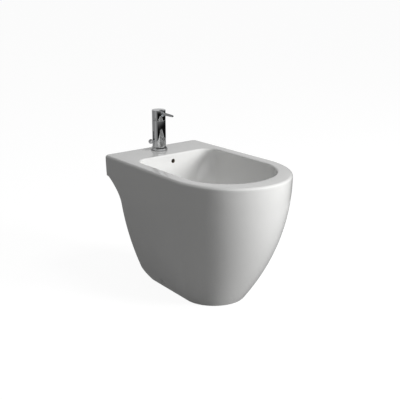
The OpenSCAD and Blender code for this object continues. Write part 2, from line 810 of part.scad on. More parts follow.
// Plug, drawn open: a domed cap, guide fins and the eye that the pivot rod lifts it by.
module plug() {
    color(chrome)
    at_waste() {
        translate([0, 0, plug_lift]) {
            rotate_extrude()
                polygon([[0, seal_z - 1.2], [seal_in_r + 1.5, seal_z - 1.2],
                         [seal_in_r + 1.5, seal_z - 0.1], [seal_in_r, seal_z - 0.1],
                         [seal_in_r, plug_z], [plug_r - 0.5, plug_z],
                         [plug_r, plug_z + 0.5], [plug_r, plug_z + 1.5], [plug_r - 2, plug_z + 2.4],
                         [plug_r - 8, plug_z + 3.6], [0, plug_z + 4.2]]);
            for (a = [45, 135])
                rotate([0, 0, a])
                    box([-fin_reach, -fin_t / 2, -fin_h], [fin_reach, fin_t / 2, seal_z - 1]);
        }
        difference() {
            union() {
                bar(plug_stem_r, loop_z + 6, plug_lift);
                box([-eye_half, -eye_t / 2, loop_z - 8], [eye_half, eye_t / 2, loop_z + 8]);
            }
            bar_y(loop_r, -3, 3, 0, loop_z);
        }
    }
}

module plug_seal() {
    color(rubber)
    at_waste()
    pipe(seal_in_r + 3.7, seal_in_r + run_gap, seal_z + plug_lift, plug_z + plug_lift);
}

// Pivot rod on its ball, drawn with the outer end down.
rod_in = 4;
rod_end = 12;
module pivot_rod() {
    color(steel)
    at_waste()
    translate([0, ball_out, -ball_drop])
    rotate([-rod_tilt, 0, 0]) {
        sphere(r = pivot_ball_r);
        bar_y(rod_r, -ball_out - rod_in, rod_out + rod_end, 0, 0);
    }
}

// Seal that the ball sits in.
module pivot_seal() {
    color(rubber)
    at_waste()
    difference() {
        bar_y(pivot_ball_r, seal_back, ball_out - 2.5, 0, -ball_drop);
        bar_y(rod_way_r, 0, ball_out, 0, -ball_drop);
        translate([0, ball_out, -ball_drop]) sphere(r = pivot_ball_r + run_gap);
    }
}

// Nut over the port, with a lip that holds the ball.
module pivot_nut() {
    color(chrome)
    at_waste()
    difference() {
        bar_y(port_ro + 2.5, ball_out + 1, port_end + 3.5, 0, -ball_drop);
        difference() {
            bar_y(port_ro + run_gap, ball_out, port_end, 0, -ball_drop);
            bar_y(pivot_ball_r, ball_out + 1.5, port_end + 1, 0, -ball_drop);
        }
        bar_y(rod_way_r, ball_out - 1, port_end + 5, 0, -ball_drop);
        translate([0, ball_out, -ball_drop]) sphere(r = pivot_ball_r + run_gap);
    }
}

clamp_z = body_h - lift_rod_drop + 12;
clamp_h = 18;

// Strap that joins the lift rod to the pivot rod, with its row of holes.
module strap() {
    color(steel)
    difference() {
        box([-strap_w / 2, tap_y - strap_t / 2, strap_hole_z - 12],
            [strap_w / 2, tap_y + strap_t / 2, clamp_z + clamp_h + 5]);
        for (i = [0 : 4])
            bar_y(loop_r, tap_y - 5, tap_y + 5, 0, strap_hole_z + 15 * i);
    }
}

// Clamp on the lift rod that the strap is slipped through.
clamp_left = lift_x - lift_rod_r - 3.7;
clamp_half = 4.5;
clamp_screw_r = 2;
clamp_screw_z = clamp_z + clamp_h / 2;
module strap_clamp() {
    color(brass)
    difference() {
        box([clamp_left, tap_y - clamp_half, clamp_z],
            [strap_w / 2 + 3, tap_y + clamp_half, clamp_z + clamp_h]);
        translate([lift_x, tap_y, 0]) bar(lift_rod_r + run_gap, clamp_z - 1, clamp_z + clamp_h + 1);
        box([-strap_w / 2 - run_gap, tap_y - strap_t / 2 - run_gap, clamp_z - 1],
            [strap_w / 2 + run_gap, tap_y + strap_t / 2 + run_gap, clamp_z + clamp_h + 1]);
        bar_x(clamp_screw_r + run_gap, clamp_left - 1, lift_x, tap_y, clamp_screw_z);
    }
}

// Thumb screw that pins the lift rod in the clamp.
module clamp_screw() {
    color(steel) {
        bar_x(clamp_screw_r, clamp_left - 5, lift_x - lift_rod_r - 0.02, tap_y, clamp_screw_z);
        bar_x(clamp_half, clamp_left - 8, clamp_left - 4, tap_y, clamp_screw_z);
    }
}

// ---- Fixings at the foot ----

bracket_l = 44;
bracket_w = 34;
bracket_base_t = 4;
bracket_wall_t = 8;
bracket_h = 34;
bracket_gap = 1.6;
bracket_x = fix_x - china_t - 0.4;
bracket_hole_x = bracket_x - 22;

// Floor bracket: its outer face leans like the china that it backs.
module bracket() {
    color(white_plastic)
    difference() {
        intersection() {
            union() {
                box([bracket_x - bracket_w, fix_y - bracket_l / 2, 0],
                    [bracket_x + 12, fix_y + bracket_l / 2, bracket_base_t]);
                box([bracket_x - bracket_wall_t - 8, fix_y - bracket_l / 2, 0],
                    [bracket_x + 12, fix_y + bracket_l / 2, bracket_h]);
            }
            behind_flank(-china_t * cos(lean_z) - bracket_gap);
        }
        translate([bracket_hole_x, fix_y, 0]) bar(floor_hole_r, -1, bracket_base_t + 1);
        bar_x(side_screw_r + run_gap, bracket_x - 30, bracket_x + 20, fix_y, fixing_z);
    }
}

module bracket_left() mirror([1, 0, 0]) bracket();
module bracket_right() bracket();

// Screws through the china into the brackets.
module side_screws() {
    color(steel)
    for (s = [0, 1])
        mirror([s, 0, 0])
            difference() {
                union() {
                    bar_x(side_screw_r, fix_x - 30, cap_seat_x + 1, fix_y, fixing_z);
                    bar_x(fixing_hole_r + 0.8, cap_seat_x, cap_seat_x + screw_head_h,
                          fix_y, fixing_z);
                }
                box([cap_seat_x + screw_head_h - 1, fix_y - 3, fixing_z - 0.6],
                    [fix_x, fix_y + 3, fixing_z + 0.6]);
            }
}

// Caps over the screws: hollow discs whose faces lie flush with the flank.
module side_caps() {
    color(white_plastic)
    for (s = [0, 1])
        mirror([s, 0, 0])
            difference() {
                intersection() {
                    bar_x(side_cap_r, cap_seat_x, fix_x + 12, fix_y, fixing_z);
                    behind_flank(0);
                }
                bar_x(fixing_hole_r + 1.1, cap_seat_x - 1, cap_seat_x + screw_head_h + 0.3,
                      fix_y, fixing_z);
            }
}

bidet_body();
tap_body();
base_ring();
base_gasket();
cartridge();
cartridge_nut();
cartridge_spindle();
handle_cap();
cap_grub_screw();
lever();
lever_pin();
aerator_collar();
aerator_ball();
aerator_screen();
lift_rod();
lift_knob();
tap_stud();
horseshoe_gasket();
horseshoe_washer();
tap_nut();
waste_flange();
flange_gasket();
waste_body();
body_gasket();
tailpiece();
plug();
plug_seal();
pivot_rod();
pivot_seal();
pivot_nut();
strap();
strap_clamp();
clamp_screw();
bracket_left();
bracket_right();
side_screws();
side_caps();
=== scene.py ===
"""Looks of a floor standing bidet with a mixer tap: its glazed china, metals, plastics and a plain stage."""

import json
import math

import bmesh
import bpy
from mathutils import Matrix, Vector


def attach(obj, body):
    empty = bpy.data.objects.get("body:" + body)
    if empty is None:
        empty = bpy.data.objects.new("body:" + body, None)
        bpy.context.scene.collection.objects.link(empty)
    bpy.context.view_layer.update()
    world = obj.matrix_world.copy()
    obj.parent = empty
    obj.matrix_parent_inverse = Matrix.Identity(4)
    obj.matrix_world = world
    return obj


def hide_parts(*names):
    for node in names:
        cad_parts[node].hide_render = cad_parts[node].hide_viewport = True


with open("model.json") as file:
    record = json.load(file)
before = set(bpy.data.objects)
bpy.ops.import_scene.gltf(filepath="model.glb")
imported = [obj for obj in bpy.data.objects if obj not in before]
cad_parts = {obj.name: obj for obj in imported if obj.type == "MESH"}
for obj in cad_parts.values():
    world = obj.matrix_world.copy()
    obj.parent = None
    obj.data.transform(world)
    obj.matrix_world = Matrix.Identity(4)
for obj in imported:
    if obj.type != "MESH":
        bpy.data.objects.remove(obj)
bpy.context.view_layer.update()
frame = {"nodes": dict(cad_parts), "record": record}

bl_info = {
    "name": "Floor standing bidet",
    "version": (1, 0, 0),
    "blender": (4, 5, 0),
    "location": "View3D > Sidebar > Bidet",
    "description": "Glazed china, metals and stage for a floor standing bidet",
    "category": "Add Mesh",
}

MM = 0.001
WELD = 1e-3


# ---- Values a user would change ----


class BidetChina(bpy.types.PropertyGroup):
    """Sizes of the china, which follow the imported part, and the colour of its glaze."""

    width: bpy.props.FloatProperty(
        name="Width", description="Width over the rim", default=0.36, unit="LENGTH"
    )
    depth: bpy.props.FloatProperty(
        name="Depth", description="Depth from wall to front", default=0.57, unit="LENGTH"
    )
    height: bpy.props.FloatProperty(
        name="Height", description="Height of the rim", default=0.392, unit="LENGTH"
    )
    wall: bpy.props.FloatProperty(
        name="Wall", description="Thickness of the china", default=0.012, unit="LENGTH"
    )
    rim_edge: bpy.props.FloatProperty(
        name="Rim edge", description="Radius of the rim's outer edge", default=0.008, unit="LENGTH"
    )
    bowl_edge: bpy.props.FloatProperty(
        name="Bowl edge", description="Radius of the bowl's soft edge", default=0.005, unit="LENGTH"
    )
    bowl_depth: bpy.props.FloatProperty(
        name="Bowl depth", description="Depth of the bowl below the rim", default=0.145, unit="LENGTH"
    )
    glaze: bpy.props.FloatVectorProperty(
        name="Glaze", description="Colour of the glaze", default=(0.80, 0.80, 0.79),
        subtype="COLOR", min=0, max=1,
    )
    # Bare clay, set darker than bare china as painted shade in the holes, the duct and the hollow underside.
    clay_with_painted_shade: bpy.props.FloatVectorProperty(
        name="Clay", description="Colour of the bare clay", default=(0.38, 0.34, 0.29),
        subtype="COLOR", min=0, max=1,
    )


class BidetMetals(bpy.types.PropertyGroup):
    """Colours of the metals."""

    chrome: bpy.props.FloatVectorProperty(
        name="Chrome", description="Colour of the plating", default=(0.72, 0.73, 0.74),
        subtype="COLOR", min=0, max=1,
    )
    steel: bpy.props.FloatVectorProperty(
        name="Steel", description="Colour of the steel", default=(0.50, 0.50, 0.51),
        subtype="COLOR", min=0, max=1,
    )
    brass: bpy.props.FloatVectorProperty(
        name="Brass", description="Colour of the brass", default=(0.60, 0.44, 0.20),
        subtype="COLOR", min=0, max=1,
    )


class BidetStage(bpy.types.PropertyGroup):
    """Strength of the lamps."""

    key: bpy.props.FloatProperty(
        name="Key", description="Power of the key lamp", default=87.0, unit="POWER"
    )
    top: bpy.props.FloatProperty(
        name="Top", description="Power of the lamp above", default=28.0, unit="POWER"
    )
    ambient: bpy.props.FloatProperty(
        name="Ambient", description="Level of the light all round", default=0.22, min=0
    )


# ---- Mesh helpers ----


def ease(x):
    """Smooth step from 0 to 1."""
    x = max(0.0, min(1.0, x))
    return x * x * (3 - 2 * x)


def finish_mesh(bm, name, smooth_angle=35.0):
    """A new object from bm, with its edges sharp where they turn by more than smooth_angle degrees."""
    limit = math.radians(smooth_angle)
    for face in bm.faces:
        face.smooth = True
    for edge in bm.edges:
        edge.smooth = len(edge.link_faces) == 2 and edge.calc_face_angle(0.0) < limit
    mesh = bpy.data.meshes.new(name)
    bm.to_mesh(mesh)
    bm.free()
    obj = bpy.data.objects.new(name, mesh)
    bpy.context.scene.collection.objects.link(obj)
    return obj


def edge_loop(loop):
    """The edges between neighbours of a closed loop of vertices."""
    edges = []
    for i, vert in enumerate(loop):
        after = loop[(i + 1) % len(loop)]
        edges.append(next(e for e in vert.link_edges if e.other_vert(vert) is after))
    return edges


def loft(bm, rings, inner):
    """One closed skin through rings of points; from ring number inner on it is unglazed."""
    loop = bmesh.ops.create_circle(bm, segments=len(rings[0]), radius=1.0)["verts"]
    first = loop
    for i, ring in enumerate(rings):
        if i > 0:
            made = bmesh.ops.extrude_edge_only(bm, edges=edge_loop(loop))["geom"]
            old = set(loop)
            above = {}
            for item in made:
                if isinstance(item, bmesh.types.BMFace):
                    item.material_index = int(i >= inner)
                if isinstance(item, bmesh.types.BMVert):
                    for edge in item.link_edges:
                        if edge.other_vert(item) in old:
                            above[edge.other_vert(item)] = item
            loop = [above[v] for v in loop]
        for vert, point in zip(loop, ring):
            vert.co = point
    unglazed(bmesh.ops.bridge_loops(bm, edges=edge_loop(first) + edge_loop(loop))["faces"])
    bmesh.ops.recalc_face_normals(bm, faces=bm.faces)


def unglazed(faces):
    """Gives faces the second material: bare clay, darkened as painted shade."""
    for face in faces:
        face.material_index = 1


def turned(bm, profile, place, steps=64):
    """Adds a solid turned round its own Z from [radius, height] points in millimetres, then put at place."""
    before = set(bm.verts)
    verts = [bm.verts.new((r, 0, z)) for r, z in profile]
    edges = [bm.edges.new(pair) for pair in zip(verts, verts[1:])]
    bmesh.ops.spin(
        bm, geom=verts + edges, cent=(0, 0, 0), axis=(0, 0, 1), angle=math.tau, steps=steps, use_merge=True
    )
    new = [v for v in bm.verts if v not in before]
    bmesh.ops.remove_doubles(bm, verts=new, dist=WELD)
    new = [v for v in bm.verts if v not in before]
    bmesh.ops.transform(bm, matrix=Matrix.Scale(MM, 4) @ place, verts=new)
    faces = {f for v in new for f in v.link_faces}
    bmesh.ops.recalc_face_normals(bm, faces=list(faces))


def bar(bm, radius, low, high, place, steps=64):
    """Adds a round bar along place's own Z."""
    turned(bm, [(0, low), (radius, low), (radius, high), (0, high)], place, steps)


def arc(r, z, radius, start, end, steps=5):
    """Profile points on an arc round (r, z), from one angle to another in degrees."""
    angles = [math.radians(start + (end - start) * i / steps) for i in range(steps + 1)]
    return [(r + radius * math.cos(a), z + radius * math.sin(a)) for a in angles]


def block(bm, low, high):
    """Adds a box between two corners in millimetres."""
    low, high = Vector(low) * MM, Vector(high) * MM
    place = Matrix.Translation((low + high) / 2) @ Matrix.Diagonal((*(high - low), 1))
    bmesh.ops.create_cube(bm, size=1.0, matrix=place)


def at(x=0.0, y=0.0, z=0.0, turn=None):
    """A place in millimetres, with Z turned along another axis."""
    return Matrix.Translation((x, y, z)) @ (turn or Matrix.Identity(4))


ALONG_X = Matrix.Rotation(math.pi / 2, 4, "Y")
TO_FRONT = Matrix.Rotation(math.pi / 2, 4, "X")


def boolean(obj, bm, operation):
    """Joins bm's solid to obj, or cuts it out of it."""
    tool = finish_mesh(bm, "tool")
    for material in obj.data.materials:
        tool.data.materials.append(material)
    mod = obj.modifiers.new("cut", "BOOLEAN")
    mod.operation = operation
    mod.solver = "EXACT"
    mod.object = tool
    bpy.context.view_layer.update()
    mesh = bpy.data.meshes.new_from_object(obj.evaluated_get(bpy.context.evaluated_depsgraph_get()))
    obj.modifiers.clear()
    obj.data = mesh
    bpy.data.objects.remove(tool)


# ---- China ----


# Points of half an outline along its back, corner, side and front.
OUTLINE_COUNTS = (6, 8, 34, 44)
LEAST_CORNER = 2.0
# How far cutting tools reach below and above the china, in millimetres.
CUT_LOW, CUT_HIGH = -40, 60


def half_outline(d):
    """Half of the D-shaped outline: half widths, back, corner radius, start of the front curve, front."""
    half_back, half_front, back, corner, middle, front = d
    n_back, n_corner, n_side, n_front = OUTLINE_COUNTS
    points = [((half_back - corner) * i / n_back, back) for i in range(n_back)]
    for i in range(n_corner):
        a = math.pi / 2 * (1 - i / n_corner)
        points.append((half_back - corner + corner * math.cos(a), back - corner + corner * math.sin(a)))
    for i in range(n_side):
        t = i / n_side
        x = half_back + (half_front - half_back) * t
        points.append((x, back - corner + (middle - back + corner) * t))
    for i in range(n_front + 1):
        a = math.pi / 2 * i / n_front
        points.append((half_front * math.cos(a), middle + (front - middle) * math.sin(a)))
    return points


def outline(d, z):
    """The whole outline at height z, in metres."""
    half = half_outline(d)
    whole = half + [(-x, y) for x, y in half[-2:0:-1]]
    return [Vector((x, y, z)) * MM for x, y in whole]


def drawn_in(d, t):
    """An outline drawn in by t all round."""
    return (d[0] - t, d[1] - t, d[2] - t, max(LEAST_CORNER, d[3] - t), d[4], d[5] + t)


class China:
    """The china's sections at each height, in millimetres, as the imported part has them."""

    block_h, sweep_h, back_gap, wall_corner = 62, 78, 62, 16
    foot_half, foot_taper, foot_gap, foot_setback, foot_corner, blend_h = 92, 14, 74, 161, 48, 40
    side_l, side_taper, belly_power, bowl_power = 362, 8, 2.04, 2.3
    rim_side, rim_front, deck_l, bowl_corner = 33, 50, 114, 44
    waste_from_edge, overflow_drop, overflow_r = 111, 22.5, 6.5
    pedestal_corner, tap_to_wall, fixing_to_wall, fixing_z, corner_growth = 18, 47, 184, 21, 20
    sweep_end_gap, drain_r, drain_corner, corner_spare, under_gap = 6, 12, 8, 4, 2
    waste_hole_r, flange_seat_r, boss_r, boss_h, boss_sunk = 23, 33, 37.5, 20, 2
    tap_hole_r, opening_half, opening_up, spill_l = 17.5, 66, 18, 36
    fixing_r, cap_hole_r, cap_sunk, fixing_from, fixing_past = 4.5, 8.3, 6, 20, 30
    duct_r, duct_wall, duct_w, duct_start, duct_middle = 4.5, 4, 18, 5.5, 1.5
    duct_middle_share, duct_bend_up, duct_end, duct_under = 0.6, 6, 28, 10.5
    foot_edge = ((1, 0), (0.3, 0.6))
    ring_step, sweep_rings, block_lead, block_rings = 4.0, 26, 1.5, 12
    rim_steps, edge_steps, wall_steps = 8, 10, 44
    under_share, last_share = 0.12, 0.1

    def __init__(self, values):
        self.w, self.l, self.h = values.width / MM, values.depth / MM, values.height / MM
        self.t, self.rim_r, self.bowl_r = values.wall / MM, values.rim_edge / MM, values.bowl_edge / MM
        self.bowl_depth = values.bowl_depth / MM
        self.wall_y, self.front_y = self.l / 2, -self.l / 2
        self.block_z = self.h - self.block_h
        self.sweep_z = self.block_z - self.sweep_h
        self.deck_front = self.wall_y - self.deck_l
        self.floor_z = self.h - self.bowl_depth
        self.waste_y = self.deck_front - self.waste_from_edge
        mouth_w = self.w / 2 - self.rim_side
        mouth_front = self.front_y + self.rim_front
        self.mouth = (
            mouth_w - self.side_taper / 2, mouth_w, self.deck_front, self.bowl_corner,
            mouth_front + mouth_w, mouth_front,
        )
        r = self.drain_r
        self.drain = (r, r, self.waste_y + r, self.drain_corner, self.waste_y, self.waste_y - r)

    def outer(self, z):
        """Outer outline at height z."""
        g = 1 - (1 - max(0.0, min(1.0, z / self.h))) ** self.belly_power
        left = max(0.0, 1 - z / self.blend_h) ** 2
        s = max(0.0, min(1.0, (z - self.sweep_z) / self.sweep_h))
        if z >= self.block_z:
            back, corner = self.wall_y, self.wall_corner
        else:
            pedestal = self.wall_y - self.back_gap - (self.foot_gap - self.back_gap) * left
            back = pedestal + (self.back_gap - self.sweep_end_gap) * s * s
            corner = self.pedestal_corner + (self.foot_corner - self.pedestal_corner) * left
        foot_front = self.front_y + self.foot_setback
        foot_mid, rim_mid = foot_front + self.foot_half, self.wall_y - self.side_l
        foot_back = self.foot_half - self.foot_taper
        return (
            foot_back + (self.w / 2 - self.side_taper - foot_back) * g,
            self.foot_half + (self.w / 2 - self.foot_half) * g,
            back,
            corner,
            foot_mid + (rim_mid - foot_mid) * g,
            foot_front - self.foot_setback * g,
        )

    def bowl(self, t, w):
        """Outline of the bowl at share t of its depth, grown by w."""
        e = 1 - max(0.0, 1 - min(t, 1.0) ** self.bowl_power) ** (1 / self.bowl_power)
        m = [a + (b - a) * e for a, b in zip(self.mouth, self.drain)]
        corner = min(m[0] - self.corner_spare, m[3] + self.corner_growth * t * (1 - e))
        return (m[0] + w, m[1] + w, m[2] + w, max(LEAST_CORNER, corner + w), m[4], m[5] - w)

    def levels(self):
        """Heights of the outside's rings, up to the rim's edge."""
        first, step = self.ring_step / 2, self.ring_step
        levels = [first + step * i for i in range(int((self.sweep_z - first) / step))]
        levels += [self.sweep_z + self.sweep_h / self.sweep_rings * i for i in range(self.sweep_rings)]
        levels += [self.block_z - self.block_lead, self.block_z]
        rise = self.h - self.rim_r - self.block_z
        return levels + [self.block_z + rise * i / self.block_rings for i in range(1, self.block_rings)]

    def rings(self):
        """Rings up the outside, down the bowl and back inside the shell, and how many are glazed."""
        h, t, levels = self.h, self.t, self.levels()
        out = [outline(drawn_in(self.outer(z), inset), z) for inset, z in self.foot_edge]
        out += [outline(self.outer(z), z) for z in levels]
        for i in range(self.rim_steps + 1):
            a = math.pi / 2 * i / self.rim_steps
            inner = drawn_in(self.outer(h), self.rim_r * (1 - math.cos(a)))
            out.append(outline(inner, h - self.rim_r * (1 - math.sin(a))))
        for i in range(self.edge_steps + 1):
            a = math.pi / 2 * i / self.edge_steps
            edge = self.bowl(0, -self.bowl_r * math.sin(a))
            out.append(outline(edge, h - self.bowl_r * (1 - math.cos(a))))
        wall_h = self.bowl_depth - self.bowl_r
        turns = [math.pi / 2 * i / self.wall_steps for i in range(1, self.wall_steps + 1)]
        shares = [math.sin(a) ** (2 / self.bowl_power) for a in turns]
        out += [outline(self.bowl(s, -self.bowl_r * (1 - s)), h - self.bowl_r - wall_h * s) for s in shares]
        glazed = len(out)
        for s in [s for s in shares[::-3] if s > self.under_share]:
            under = self.bowl(s, t - self.bowl_r * (1 - s))
            out.append(outline(under, h - self.bowl_r - wall_h * s - t * s))
        top = h - t - self.under_gap
        out.append(outline(self.bowl(self.last_share, t - self.bowl_r), top))
        out.append(outline(drawn_in(self.outer(h), t), top))
        out += [outline(drawn_in(self.outer(z), t), z) for z in levels[-4::-3]]
        out.append(outline(drawn_in(self.outer(0), t), 0))
        return out, glazed

    def duct_path(self):
        """Path of the overflow channel as (y, z), behind and under the bowl."""
        return [
            Vector((self.deck_front + self.duct_start, self.h - self.overflow_drop)),
            Vector((self.deck_front + self.duct_middle, self.h - self.bowl_depth * self.duct_middle_share)),
            Vector((self.deck_front - self.waste_from_edge / 3, self.floor_z + self.duct_bend_up)),
            Vector((self.waste_y + self.duct_end, self.floor_z - self.duct_under)),
        ]

    def flank_x(self, y, z):
        """Half width of the flank at depth y and height z."""
        d = self.outer(z)
        return d[0] + (d[1] - d[0]) * (d[2] - d[3] - y) / (d[2] - d[3] - d[4])


def duct_tool(shape, radius, width):
    """The overflow channel as a bent bar, which reaches a little past both ends of its path."""
    path = shape.duct_path()
    sides = ([], [])
    for i, point in enumerate(path):
        before = (point - path[i - 1]).normalized() if i else (path[1] - point).normalized()
        after = (path[i + 1] - point).normalized() if i < len(path) - 1 else before
        along = (before + after).normalized()
        off = Vector((-along.y, along.x)) * radius / max(0.5, along.dot(before))
        reach = along * radius * (-0.7 if i == 0 else 0.7 if i == len(path) - 1 else 0)
        sides[0].append(point + off + reach)
        sides[1].append(point - off + reach)
    bm = bmesh.new()
    edge = sides[0] + sides[1][::-1]
    verts = [bm.verts.new(Vector((-width / 2, p.x, p.y)) * MM) for p in edge]
    face = bm.faces.new(verts)
    made = bmesh.ops.extrude_face_region(bm, geom=[face])["geom"]
    bmesh.ops.translate(
        bm, vec=(width * MM, 0, 0), verts=[v for v in made if isinstance(v, bmesh.types.BMVert)]
    )
    bmesh.ops.recalc_face_normals(bm, faces=bm.faces)
    unglazed(bm.faces)
    return bm


class BIDET_OT_china(bpy.types.Operator):
    """Makes the smooth china body in place of the faceted one"""

    bl_idname = "bidet.make_china"
    bl_label = "China body"

    def execute(self, context):
        values = context.scene.bidet_china
        shape = China(values)
        bm = bmesh.new()
        loft(bm, *shape.rings())
        obj = finish_mesh(bm, "china_body")
        obj.data.materials.append(glazed_china("glazed_china", values.glaze))
        # Second material: bare clay, painted darker as shade in the holes, the duct and the hollow
        # underside.
        obj.data.materials.append(moulded("bare_clay_with_painted_shade", tuple(values.clay_with_painted_shade), 0.8, 500))
        waste = at(0, shape.waste_y, shape.floor_z)

        boss = bmesh.new()
        bar(boss, shape.boss_r, -shape.boss_h, -shape.boss_sunk, waste)
        unglazed(boss.faces)
        boolean(obj, boss, "UNION")
        casing_r, casing_w = shape.duct_r + shape.duct_wall, shape.duct_w + 2 * shape.duct_wall
        boolean(obj, duct_tool(shape, casing_r, casing_w), "UNION")
        boolean(obj, duct_tool(shape, shape.duct_r, shape.duct_w), "DIFFERENCE")

        holes = bmesh.new()
        hole, seat = shape.waste_hole_r, shape.flange_seat_r
        drain = [(0, CUT_LOW), (hole, CUT_LOW), (hole, 0), (seat, 0), (seat, CUT_HIGH), (0, CUT_HIGH)]
        turned(holes, drain, waste, 96)
        bar(holes, shape.tap_hole_r, CUT_LOW, -CUT_LOW, at(0, shape.wall_y - shape.tap_to_wall, shape.h))
        fix_y, fix_z = shape.wall_y - shape.fixing_to_wall, shape.fixing_z
        seat = shape.flank_x(fix_y, fix_z) - shape.cap_sunk
        start, end = shape.fixing_from, seat + shape.fixing_past
        small, large = shape.fixing_r, shape.cap_hole_r
        for side in (-1, 1):
            place = at(0, fix_y, fix_z, Matrix.Rotation(side * math.pi / 2, 4, "Y"))
            recess = [(0, start), (small, start), (small, seat), (large, seat), (large, end), (0, end)]
            turned(holes, recess, place)
        boolean(obj, holes, "DIFFERENCE")

        ways = bmesh.new()
        spill = at(0, shape.deck_front, shape.h - shape.overflow_drop, TO_FRONT)
        bar(ways, shape.overflow_r, -shape.duct_start, shape.spill_l, spill, 48)
        low = (-shape.opening_half, shape.deck_front + shape.t, -1)
        block(ways, low, (shape.opening_half, shape.wall_y + 1, shape.block_z + shape.opening_up))
        unglazed(ways.faces)
        boolean(obj, ways, "DIFFERENCE")
        tidy(obj, "bidet", "bidet_body")
        return {"FINISHED"}


# ---- Tap ----


class Tap:
    """The tap's sizes in millimetres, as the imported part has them; heights are above the deck."""

    axis_y, deck_z = 238, 392
    barrel_r, barrel_h, ring_h, ring_r = 21, 92, 11, 26
    spigot_r, spigot_l, skirt_wall, hollow_top = 16.3, 10, 1, 0.6
    inlets, inlet_r, inlet_top, port_r = ((-4.8, 8.6), (6.4, 8.2)), 4.6, 14, 3
    stud_y, stud_r, stud_top, outlet_y = -10, 3.06, 9, -8
    seat_r, seat_z, nut_r, nut_z = 12.56, 70, 14.46, 84
    rod_x, rod_way, slot_half, knob_up, travel = -12.8, 2.4, 2.3, 29, 28
    cap_z, cap_top, hub_y, hub_z, hub_r = 92.4, 123, -12, 114, 5
    notch_half, notch_z, pin_r, grub_r, spindle_r = 4.5, 104.5, 1.31, 2.06, 4.56
    lever_l, lever_rise, neck_r, grip_r, tip_r = 61, 0, 2.2, 4.4, 3.2
    knob_x, knob_r, arm_r, knob_neck = -31, 7.2, 1.96, 3.3
    aerator_up, collar_r, collar_back, collar_front = 34, 9.2, -12, -22.4
    ball_y, ball_r, screen_r, screen_t = -18.2, 7.2, 3.96, 2.2
    barrel_edge, cap_edge, ring_edge, hub_edge, tip_edge = 0.9, 0.8, 0.5, 0.4, 1.2
    nut_clear, way_from, way_r, collar_clear, rod_clear = 95, 7, 5.6, 26, 4.3
    cavity_r, ring_bore, gasket_t, ring_foot_z, ring_lip, flare = 17, 17, 1.2, 5.7, 0.6, 1.2
    neck_from, neck_end, swell_l, grip_from = 2, 13, 8, 26
    knob_gap, knob_bore, run_gap, front_flat, back_flat, screen_lip = 1.5, 1.9, 0.06, 2, 1.6, 1.06

    @classmethod
    def at(cls, x=0.0, y=0.0, z=0.0, turn=None):
        """A place measured from the tap's axis at the deck."""
        return at(x, cls.axis_y + y, cls.deck_z + z, turn)

    @classmethod
    def box(cls, bm, low, high):
        """Adds a box with corners measured from the tap's axis at the deck."""
        shift = Vector((0, cls.axis_y, cls.deck_z))
        block(bm, Vector(low) + shift, Vector(high) + shift)


def cut(obj, *makers):
    """Cuts one tool after another out of obj; each maker fills a new mesh."""
    for maker in makers:
        tool = bmesh.new()
        maker(tool)
        boolean(obj, tool, "DIFFERENCE")


def solid(name, profile, place, steps=128):
    """A turned piece on its own."""
    bm = bmesh.new()
    turned(bm, profile, place, steps)
    return finish_mesh(bm, name)


def tidy(obj, body, node):
    """Gives a finished piece its shading and body, keeps its materials and hides the CAD node it stands in
    for.
    """
    bm = bmesh.new()
    bm.from_mesh(obj.data)
    name, materials = obj.name, list(obj.data.materials)
    bpy.data.objects.remove(obj)
    obj = finish_mesh(bm, name, 32)
    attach(obj, body)
    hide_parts(node)
    for material in materials:
        obj.data.materials.append(material)


def tap_barrel():
    """Upright barrel on its spigot, with the ways for water, rod, cartridge and aerator."""
    t = Tap
    profile = [(0, -t.spigot_l), (t.spigot_r, -t.spigot_l), (t.spigot_r, t.ring_h), (t.barrel_r, t.ring_h)]
    edge = t.barrel_edge
    profile += arc(t.barrel_r - edge, t.barrel_h - edge, edge, 0, 90) + [(0, t.barrel_h)]
    obj = solid("tap_barrel", profile, t.at())
    slot_end = t.knob_up + t.travel
    well = [(0, t.seat_z), (t.seat_r, t.seat_z), (t.seat_r, t.nut_z), (t.nut_r, t.nut_z)]
    well += [(t.nut_r, t.nut_clear), (0, t.nut_clear)]
    seat = -t.collar_back
    socket = [(0, t.way_from), (t.way_r, t.way_from), (t.way_r, seat), (t.collar_r, seat)]
    socket += [(t.collar_r, t.collar_clear), (0, t.collar_clear)]
    cut(
        obj,
        lambda bm: turned(bm, well, t.at()),
        lambda bm: bar(bm, t.spigot_r - t.skirt_wall, -t.spigot_l - 1, t.hollow_top, t.at()),
        *[lambda bm, p=p: bar(bm, t.inlet_r, 0, t.inlet_top, t.at(*p)) for p in t.inlets],
        *[lambda bm, p=p: bar(bm, t.port_r, 1, t.seat_z + 1, t.at(*p)) for p in t.inlets],
        lambda bm: bar(bm, t.port_r, t.aerator_up, t.seat_z + 1, t.at(0, t.outlet_y)),
        lambda bm: bar(bm, t.stud_r, -1, t.stud_top, t.at(0, t.stud_y)),
        lambda bm: turned(bm, socket, t.at(0, 0, t.aerator_up, TO_FRONT)),
        lambda bm: bar(bm, t.rod_way, -t.spigot_l - 1, slot_end + t.rod_clear, t.at(t.rod_x)),
        lambda bm: t.box(bm, (-t.barrel_r - 1, -t.slot_half, t.knob_up), (t.rod_x, t.slot_half, slot_end)),
        *[
            lambda bm, z=z: bar(bm, t.slot_half, -t.barrel_r - 1, t.rod_x, t.at(0, 0, z, ALONG_X), 32)
            for z in (t.knob_up, slot_end)
        ],
    )
    return obj


